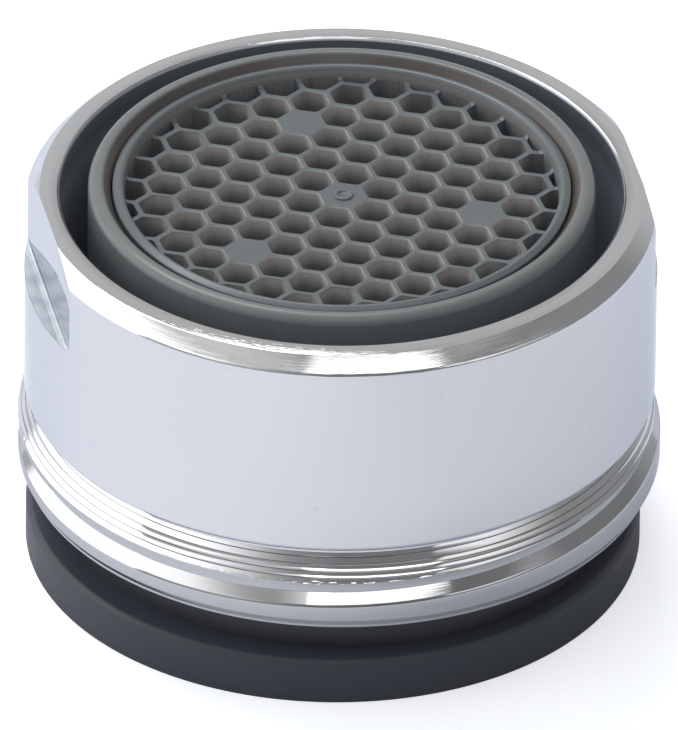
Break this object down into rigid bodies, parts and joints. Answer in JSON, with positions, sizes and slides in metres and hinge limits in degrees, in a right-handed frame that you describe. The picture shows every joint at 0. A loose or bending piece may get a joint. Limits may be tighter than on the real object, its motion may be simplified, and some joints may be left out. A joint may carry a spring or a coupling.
{
  "type": "tap aerator",
  "caption": "Chromed tap aerator with a male spout thread, wrench flats, a honeycomb outlet in an annular air gap and a rubber sealing washer",
  "frame": {"origin": "middle of the sealing washer's underside, the face that meets the tap and on which the part stands here", "axes": "+Z runs along the axis from the inlet to the outlet; the two wrench flats face along X"},
  "size_m": [0.0238, 0.0238, 0.0155],
  "materials": {
    "chrome": "polished chrome plate on turned brass",
    "grey_plastic": "satin moulded acetal",
    "outlet_plastic": "satin moulded acetal",
    "grid_plastic": "satin moulded acetal",
    "dark_plastic": "matt black moulded acetal",
    "strainer_plastic": "pale moulded screen",
    "rubber": "matt black rubber"
  },
  "bodies": {
    "root": {"housing": "chrome", "insert_jacket": "grey_plastic", "honeycomb_outlet": "outlet_plastic", "mixing_grid_outlet_side": "grid_plastic", "mixing_grid_inlet_side": "grid_plastic", "jet_splitter": "dark_plastic", "inlet_strainer": "strainer_plastic", "sealing_washer": "rubber"}
  },
  "joints": []
}
